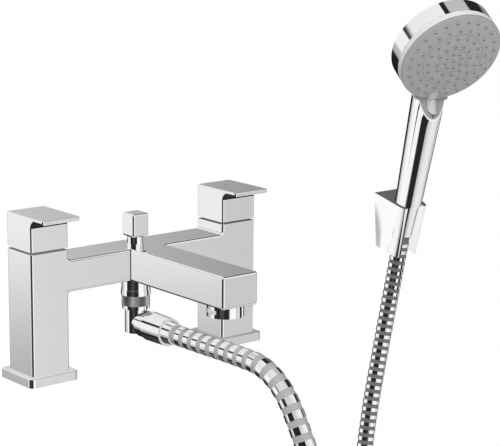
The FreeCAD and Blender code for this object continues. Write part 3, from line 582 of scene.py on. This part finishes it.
def ribbed_tube(name, line, bands, bore):
    """A mesh tube along a line, with a ring of points for each band, open at its bore."""
    stations = hose_stations(line, bands)
    rows = [(*stations[0][:3], bore, MATT)] + stations + [(*stations[-1][:3], bore, MATT)]
    vertices = []
    for point, way, across, radius, band in rows:
        other = way.cross(across)
        for i in range(HOSE_POINTS_AROUND):
            angle = 2 * math.pi * i / HOSE_POINTS_AROUND
            vertices.append(point + (across * math.cos(angle) + other * math.sin(angle)) * radius)
    faces = []
    bands_of_faces = []
    for row in range(len(rows) - 1):
        near = row * HOSE_POINTS_AROUND
        far = near + HOSE_POINTS_AROUND
        for i in range(HOSE_POINTS_AROUND):
            j = (i + 1) % HOSE_POINTS_AROUND
            faces.append((near + i, near + j, far + j, far + i))
            bands_of_faces.append(rows[row][4])
    mesh = bpy.data.meshes.new(name)
    mesh.from_pydata([tuple(v) for v in vertices], [], faces)
    for polygon, band in zip(mesh.polygons, bands_of_faces):
        polygon.material_index = band
        polygon.use_smooth = True
    mesh.update()
    tube = bpy.data.objects.new(name, mesh)
    bpy.context.scene.collection.objects.link(tube)
    return tube


class MIXER_OT_hose(bpy.types.Operator):
    """Model the ribbed metal hose with its bright and matt bands"""
    bl_idname = "mixer.hose"
    bl_label = "Hose"

    def execute(self, context):
        line = hose_line()
        total = sum((b - a).length for a, b in zip(line, line[1:]))
        tube = ribbed_tube("ribbed_hose", line, hose_bands(total), sizes().hose_bore)
        only(tube)
        bpy.ops.object.mode_set(mode="EDIT")
        bpy.ops.mesh.select_all(action="SELECT")
        bpy.ops.mesh.normals_make_consistent(inside=False)
        bpy.ops.object.mode_set(mode="OBJECT")
        bpy.ops.object.shade_smooth_by_angle(angle=math.radians(25))
        give(tube, "bright_chrome", "satin_steel_painted_shade")
        tube.visible_glossy = False
        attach(tube, "mixer")
        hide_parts("hose")
        return {"FINISHED"}


# nozzles
def nozzle_places():
    """Centres of the nozzles on the face: one in the middle and five rings round it."""
    spacing = sizes().ring_spacing
    spots = [(0.0, 0.0)]
    for ring in range(1, RINGS + 1):
        count = 4 + 4 * ring
        half_step = 0.0 if count == TAB_RING_COUNT else 0.5
        for i in range(count):
            if count == TAB_RING_COUNT and i == 0:
                continue
            angle = math.radians(-90 + 360.0 / count * (i + half_step))
            spots.append((ring * spacing * math.cos(angle), ring * spacing * math.sin(angle)))
    return spots


def face_frame():
    """The spray face's frame: +Z the way it faces and +Y away from the handle."""
    centre, way = face_centre()
    lift = Vector(next(j for j in frame["joints"] if j["name"] == "handset_lift")["axis"])
    up = (lift - way * lift.dot(way)).normalized()
    across = up.cross(way)
    turn = Matrix((across, up, way)).transposed().to_4x4()
    return Matrix.Translation(centre) @ turn


class MIXER_OT_nozzles(bpy.types.Operator):
    """Model the rubber nozzles, each with its hole"""
    bl_idname = "mixer.nozzles"
    bl_label = "Nozzles"

    def execute(self, context):
        size = sizes()
        foot_deep = 0.0010
        clearance = 0.0003
        taper = 0.72
        lip = size.nozzle_rim * 0.18
        least_floor_area = 0.3 * size.nozzle_rim ** 2
        high = size.nozzle_high - clearance
        hole_deep = 0.3 * high
        nothing_selected()
        bpy.ops.mesh.primitive_cone_add(vertices=16, radius1=size.nozzle_rim, radius2=size.nozzle_rim * taper,
                                        depth=high, location=(0, 0, 0))
        first = bpy.context.object
        give(first, "nozzle_rubber", "nozzle_tips")
        pick(first, lambda f: f.normal.z < -0.9)
        bpy.ops.mesh.inset(thickness=size.nozzle_rim - size.nozzle_radius)
        bpy.ops.mesh.extrude_region_move(TRANSFORM_OT_translate={"value": (0, 0, -foot_deep)})
        pick(first, lambda f: f.normal.z > 0.9)
        bpy.ops.mesh.inset(thickness=lip)
        bpy.ops.mesh.extrude_region_move(TRANSFORM_OT_translate={"value": (0, 0, -hole_deep)})
        bpy.ops.object.mode_set(mode="OBJECT")
        for polygon in first.data.polygons:
            polygon.material_index = int(polygon.normal.z > 0.9 and polygon.area > least_floor_area)
        flat_at = RINGS * size.ring_spacing
        frame_of_face = face_frame()
        copies = []
        for x, y in nozzle_places():
            rise = FACE_RISE * (1 - (math.hypot(x, y) / flat_at) ** 2)
            middle = rise + size.nozzle_high - high / 2
            copy = first.copy()
            copy.data = first.data.copy()
            copy.matrix_world = frame_of_face @ Matrix.Translation((x, y, middle))
            bpy.context.scene.collection.objects.link(copy)
            copies.append(copy)
        bpy.data.objects.remove(first)
        nothing_selected()
        for copy in copies:
            copy.select_set(True)
        bpy.context.view_layer.objects.active = copies[0]
        bpy.ops.object.join()
        nozzles = bpy.context.object
        nozzles.name = "nozzles"
        settle(nozzles)
        bpy.ops.object.shade_smooth_by_angle(angle=math.radians(35))
        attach(nozzles, "spray_disc")
        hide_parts("nozzle_mat")
        return {"FINISHED"}


# knurled union nut
class MIXER_OT_union_nut(bpy.types.Operator):
    """Model the union nut with its fine knurl"""
    bl_idname = "mixer.union_nut"
    bl_label = "Union nut"

    def execute(self, context):
        edge = 0.0006
        opening = 0.0082
        groove_share = 0.972
        wall = 0.0012
        low, high = (Vector(c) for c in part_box("union_nut"))
        radius = (high.x - low.x) / 2
        height = high.z - low.z
        nothing_selected()
        bpy.ops.mesh.primitive_cylinder_add(vertices=sizes().knurls * 2, radius=radius, depth=height,
                                            location=((low + high) / 2))
        nut = bpy.context.object
        nut.name = "knurled_nut"
        step = math.pi / sizes().knurls

        def ends(face):
            return abs(face.normal.z) > 0.9

        pick(nut, ends)
        bpy.ops.mesh.inset(thickness=edge)
        bpy.ops.transform.resize(value=(1.0, 1.0, 1.0 - edge / height))
        bpy.ops.mesh.inset(thickness=radius - edge - opening)
        bpy.ops.mesh.delete(type="FACE")
        bpy.ops.object.mode_set(mode="OBJECT")

        def groove(vertex):
            angle = math.atan2(vertex.co.y, vertex.co.x) / step
            return math.hypot(vertex.co.x, vertex.co.y) > radius * 0.99 and round(angle) % 2

        pick(nut, groove, "VERT")
        bpy.ops.transform.resize(value=(groove_share, groove_share, 1.0))
        bpy.ops.mesh.select_all(action="SELECT")
        bpy.ops.mesh.normals_make_consistent(inside=False)
        bpy.ops.object.mode_set(mode="OBJECT")
        bpy.ops.object.modifier_add(type="SOLIDIFY")
        nut.modifiers[-1].thickness = wall
        nut.modifiers[-1].offset = -1.0
        bpy.ops.object.modifier_apply(modifier=nut.modifiers[-1].name)
        settle(nut)
        give(nut, "knurled_chrome")
        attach(nut, "mixer")
        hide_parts("union_nut")
        return {"FINISHED"}


# stage
def view_turn(azimuth, tilt, roll):
    """The camera's turn from its azimuth, its tilt below the horizon and its roll."""
    ahead = Vector((math.sin(azimuth) * math.cos(tilt), math.cos(azimuth) * math.cos(tilt), -math.sin(tilt)))
    right = Vector((math.cos(azimuth), -math.sin(azimuth), 0.0))
    up = right.cross(ahead)
    side = right * math.cos(roll) + up * math.sin(roll)
    top = up * math.cos(roll) - right * math.sin(roll)
    return Matrix((side, top, -ahead)).transposed().to_4x4()


def white_stage():
    """White to the camera and plain pale grey to the light that it scatters. Mirrors don't see the stage."""
    board = new_board("white_stage")
    seen = board.rays()[0]
    plain = board.node("ShaderNodeBsdfDiffuse", values={"Color": (0.8, 0.8, 0.8, 1.0)})
    white = board.node("ShaderNodeEmission", values={"Color": WHITE, "Strength": 1.0})
    shown = board.node("ShaderNodeMixShader", values=[seen, plain, white])
    board.node("ShaderNodeOutputMaterial", values=[shown])


# What chrome mirrors, in bands from below to above. Each stop is a turn in degrees and the level there.
UNDER = [(-180, 0.1), (-165, 0.35), (-150, 0.35), (-147, 0.02), (-132, 0.02), (-128, 0.4), (0, 0.5), (84, 0.5),
         (90, 0.85), (110, 0.8), (120, 0.5), (158, 0.42), (163, 0.02), (180, 0.02)]
FLOOR = [(-180, 0.02), (-110, 0.02), (-104, 0.4), (-98, 0.6), (-94, 0.95), (-52, 0.95), (-45, 0.8),
         (-37, 0.65), (-31, 0.3), (-27, 0.02), (17, 0.02), (22, 0.5), (30, 0.6), (45, 0.75), (70, 0.85),
         (148, 0.75), (160, 0.10), (180, 0.02)]
LINE = [(-180, 0.02), (-116, 0.02), (-108, 0.3), (-102, 0.6), (-94, 0.6), (-90, 0.48), (-79.5, 0.56),
        (-77, 0.95), (-34, 0.95), (-30, 0.02), (24, 0.02), (30, 0.95), (58, 0.95), (62, 0.02), (96, 0.02),
        (100, 0.75), (148, 0.3), (158, 0.02), (180, 0.02)]
LOW = [(-180, 0.02), (-136.5, 0.02), (-132.5, 0.45), (-124, 0.5), (-118, 0.87), (-97, 0.87), (-93, 1.0),
       (-73, 1.0), (-70, 0.02), (-36, 0.02), (-28, 0.06), (-8, 0.06), (-4, 0.02), (22, 0.02), (30, 0.8),
       (34, 1.0), (66, 1.0), (71, 0.70), (79, 0.59), (86, 0.62), (90, 0.95), (97, 0.95), (100, 0.02),
       (120, 0.02), (124, 0.9), (141, 0.9), (145, 0.02), (180, 0.02)]
HORIZON = [(-180, 0.34), (-176.5, 0.45), (-173, 0.54), (-165, 0.62), (-120, 0.9), (-70, 0.9), (-60, 0.02),
           (8, 0.02), (14, 0.9), (68, 0.9), (70, 0.02), (73, 0.02), (75, 0.9), (84, 0.8), (120, 0.35),
           (150, 0.25), (172, 0.22), (180, 0.34)]
UPPER = [(-180, 0.75), (-172, 0.80), (-125, 0.85), (-109, 0.85), (-107.5, 0.02), (-103, 0.02), (-99.5, 0.85),
         (0, 0.6), (60, 0.9), (86, 0.9), (93, 0.4), (100, 0.02), (150, 0.02), (162, 0.10), (167, 0.18),
         (170, 0.20), (176, 0.5), (180, 0.75)]
CROWN = [(-180, 0.3), (-150, 0.6), (-95, 0.85), (60, 0.7), (92, 0.25), (96, 0.05), (134, 0.02), (138, 0.52),
         (150, 0.52), (152, 0.02), (172, 0.02), (180, 0.3)]
ZENITH = [(-180, 0.02), (-146, 0.02), (-141, 0.85), (-100, 0.87), (60, 0.7), (120, 0.52), (165, 0.52),
          (172, 0.02), (180, 0.02)]


def ramp(board, angle, stops):
    """A level from an azimuth in degrees, -180 to 180."""
    places = [((a + 180.0) / 360.0, level) for a, level in stops]
    return board.node("ShaderNodeValToRGB", {"stops": places}, [(angle + 180.0) / 360.0])


def panels_level(board, azimuth):
    """How bright the mirrored surroundings are, by turn from the camera's azimuth and by rise in degrees."""
    x, y, z = board.split(board.node("ShaderNodeTexCoord", output="Generated"))
    ahead = x * math.sin(azimuth) + y * math.cos(azimuth)
    right = x * math.cos(azimuth) - y * math.sin(azimuth)
    turn = z.maths("ARCTAN2", right, 0.0 - ahead) * (180 / math.pi)
    rise = z.maths("ARCSINE", z) * (180 / math.pi)
    left = turn < -93.0
    dimmed = ramp(board, turn, LOW) * (1.0 - left * board.ease(rise, -17.5, -11.5, 0.48, 0.0))
    bands = [(-41.0, -38.0, ramp(board, turn, FLOOR)),
             (-27.0, -25.5, ramp(board, turn, LINE)),
             (-17.9, -17.4, dimmed),
             (-5.0, -1.0, ramp(board, turn, HORIZON)),
             (15.0, 18.0, ramp(board, turn, UPPER)),
             (44.0, 48.0, ramp(board, turn, CROWN)),
             (54.0, 58.0, ramp(board, turn, ZENITH))]
    level = ramp(board, turn, UNDER)
    for begins, full_at, band in bands:
        level = board.mix(board.ease(rise, begins, full_at), level, band)
    return level


def studio(azimuth):
    """The world: white behind, plain light, and round the object the panels that chrome mirrors."""
    world = bpy.data.worlds.new("studio")
    world.use_nodes = True
    bpy.context.scene.world = world
    board = Board(world.node_tree)
    seen, mirrored = board.rays()
    panels = board.node("ShaderNodeBackground", values=[panels_level(board, azimuth), 1.0])
    plain = board.node("ShaderNodeBackground", values=[WHITE, 0.75])
    white = board.node("ShaderNodeBackground", values=[WHITE, 1.0])
    around = board.node("ShaderNodeMixShader", values=[mirrored, plain, panels])
    shown = board.node("ShaderNodeMixShader", values=[seen, around, white])
    board.node("ShaderNodeOutputWorld", values=[shown])


def photo_camera(azimuth):
    """The camera that the picture was taken with, as worked out from the mixer's edges."""
    sensor = 36.0
    focal_pixels = 1797.18
    picture_pixels = 500.0
    tilt = math.radians(12.03)
    roll = math.radians(0.52)
    camera = bpy.data.cameras.new("photo_camera")
    camera.sensor_width = sensor
    camera.lens = focal_pixels / picture_pixels * sensor
    camera.clip_start = 0.05
    seat = bpy.data.objects.new("photo_camera", camera)
    seat.matrix_world = Matrix.Translation((-0.80048, -1.11230, 0.40073)) @ view_turn(azimuth, tilt, roll)
    bpy.context.scene.collection.objects.link(seat)
    bpy.context.scene.camera = seat


def key_lamp():
    """One wide sun from above and behind the camera."""
    lamp = bpy.data.lights.new("key_lamp", "SUN")
    lamp.energy = 1.6
    lamp.angle = math.radians(25)
    key = bpy.data.objects.new("key_lamp", lamp)
    key.matrix_world = Matrix.Rotation(math.radians(-40), 4, "Z") @ Matrix.Rotation(math.radians(42), 4, "X")
    key.visible_glossy = False
    bpy.context.scene.collection.objects.link(key)


def slab(name, middle, size, bevel=0.0):
    """A white board of the stage."""
    nothing_selected()
    bpy.ops.mesh.primitive_cube_add(size=1.0, location=middle, scale=size)
    made = bpy.context.object
    made.name = name
    if bevel:
        bpy.ops.object.modifier_add(type="BEVEL")
        made.modifiers[-1].width = bevel
        bpy.ops.object.modifier_apply(modifier=made.modifiers[-1].name)
    settle(made)
    give(made, "white_stage")
    made.visible_glossy = False
    return made


class MIXER_OT_stage(bpy.types.Operator):
    """Set the camera, the world, the lamp and the deck that the mixer stands on"""
    bl_idname = "mixer.stage"
    bl_label = "Stage"

    def execute(self, context):
        azimuth = math.radians(39.47)
        photo_camera(azimuth)
        studio(azimuth)
        key_lamp()
        white_stage()
        deck = slab("deck", (-0.405, 0.2275, -0.010), (1.19, 0.545, 0.020), bevel=0.003)
        apron = slab("apron", (-0.405, -0.041, -0.120), (1.19, 0.008, 0.20))
        context.scene.view_settings.view_transform = "Standard"
        return {"FINISHED"}


class MIXER_PT_panel(bpy.types.Panel):
    """Sidebar panel with the mixer's steps"""
    bl_idname = "MIXER_PT_panel"
    bl_label = "Bath Mixer"
    bl_space_type = "VIEW_3D"
    bl_region_type = "UI"
    bl_category = "Bath Mixer"

    def draw(self, context):
        for step in STEPS:
            self.layout.operator(step.bl_idname)


STEPS = (MIXER_OT_finishes, MIXER_OT_hose, MIXER_OT_nozzles, MIXER_OT_union_nut, MIXER_OT_stage)
CLASSES = (MixerSizes, MixerColours) + STEPS + (MIXER_PT_panel,)


def register():
    for made in CLASSES:
        bpy.utils.register_class(made)
    bpy.types.Scene.mixer_sizes = PointerProperty(type=MixerSizes)
    bpy.types.Scene.mixer_colours = PointerProperty(type=MixerColours)


def unregister():
    del bpy.types.Scene.mixer_colours
    del bpy.types.Scene.mixer_sizes
    for made in reversed(CLASSES):
        bpy.utils.unregister_class(made)


def main():
    register()
    for step in STEPS:
        area, name = step.bl_idname.split(".")
        getattr(getattr(bpy.ops, area), name)()


if __name__ == "__main__":
    main()
